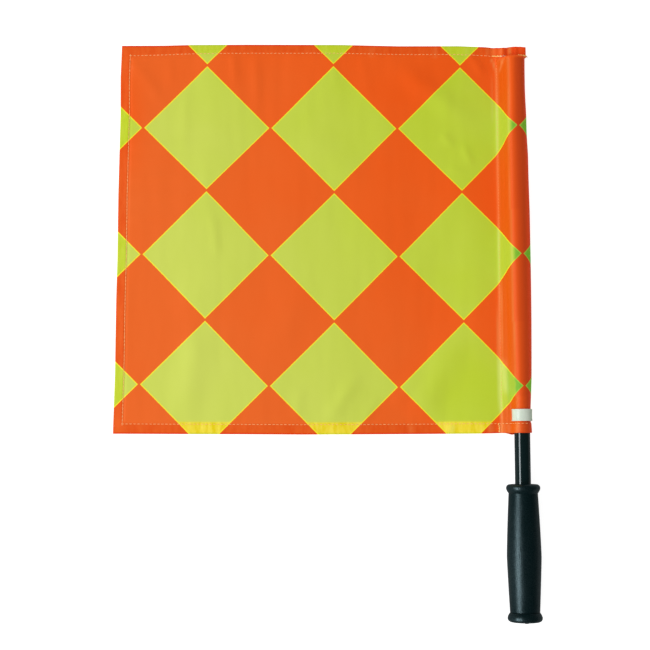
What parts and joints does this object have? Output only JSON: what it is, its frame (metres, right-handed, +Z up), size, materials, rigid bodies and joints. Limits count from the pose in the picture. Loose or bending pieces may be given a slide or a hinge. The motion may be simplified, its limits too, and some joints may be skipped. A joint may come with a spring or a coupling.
{
  "type": "linesman flag",
  "caption": "Linesman's hand flag: square hemmed cloth with a diamond chequer, sleeved on a tube that turns in a barrel grip, with a clip round the sleeve's foot.",
  "frame": {"origin": "on the table, under the middle of the box round the whole flag as it lies face up", "axes": "+Y along the pole, from the butt of the grip to the top of the cloth; +Z up from the table; +X from the cloth's free edge to the pole"},
  "size_m": [0.407, 0.558, 0.035],
  "materials": {
    "grip_black": "fine matt grain, black with a soft sheen",
    "tube_black": "smooth gloss black",
    "bush_grey": "plain grey bearing plastic",
    "plug_black": "moulded black",
    "fixing_steel": "zinc-plated steel",
    "clip_white": "off-white, softly glossy",
    "flag_cloth": "fluorescent orange and lime diamond chequer on a thin woven cloth",
    "stitch_thread": "pale orange and yellow sewing thread"
  },
  "bodies": {
    "handle": {"grip": "grip_black", "grip_end_cap": "grip_black", "upper_bush": "bush_grey", "lower_bush": "bush_grey"},
    "pole": {"pole_tube": "tube_black", "tube_foot_plug": "plug_black", "tube_top_plug": "plug_black", "thrust_washer": "fixing_steel", "swivel_screw": "fixing_steel", "sleeve_clip": "clip_white", "cloth_sleeve": "flag_cloth", "closure_thread": "stitch_thread", "sleeve_foot_thread": "stitch_thread", "sleeve_seam_thread": "stitch_thread", "bar_tack_thread": "stitch_thread"},
    "cloth": {"cloth_panel": "flag_cloth", "top_hem_thread": "stitch_thread", "bottom_hem_thread": "stitch_thread", "fly_hem_thread": "stitch_thread"}
  },
  "joints": [
    {"name": "pole_swivel", "type": "hinge", "parent": "handle", "child": "pole", "pos_m": [0.187, -0.21889, 0.01748], "axis": [0, 0.9998, -0.0188], "continuous": true},
    {"name": "cloth_fold", "type": "hinge", "parent": "pole", "child": "cloth", "pos_m": [0.16663, 0.0889, 0.00373], "axis": [0, 0.9998, -0.0188], "range_deg": [-120, 110]}
  ]
}
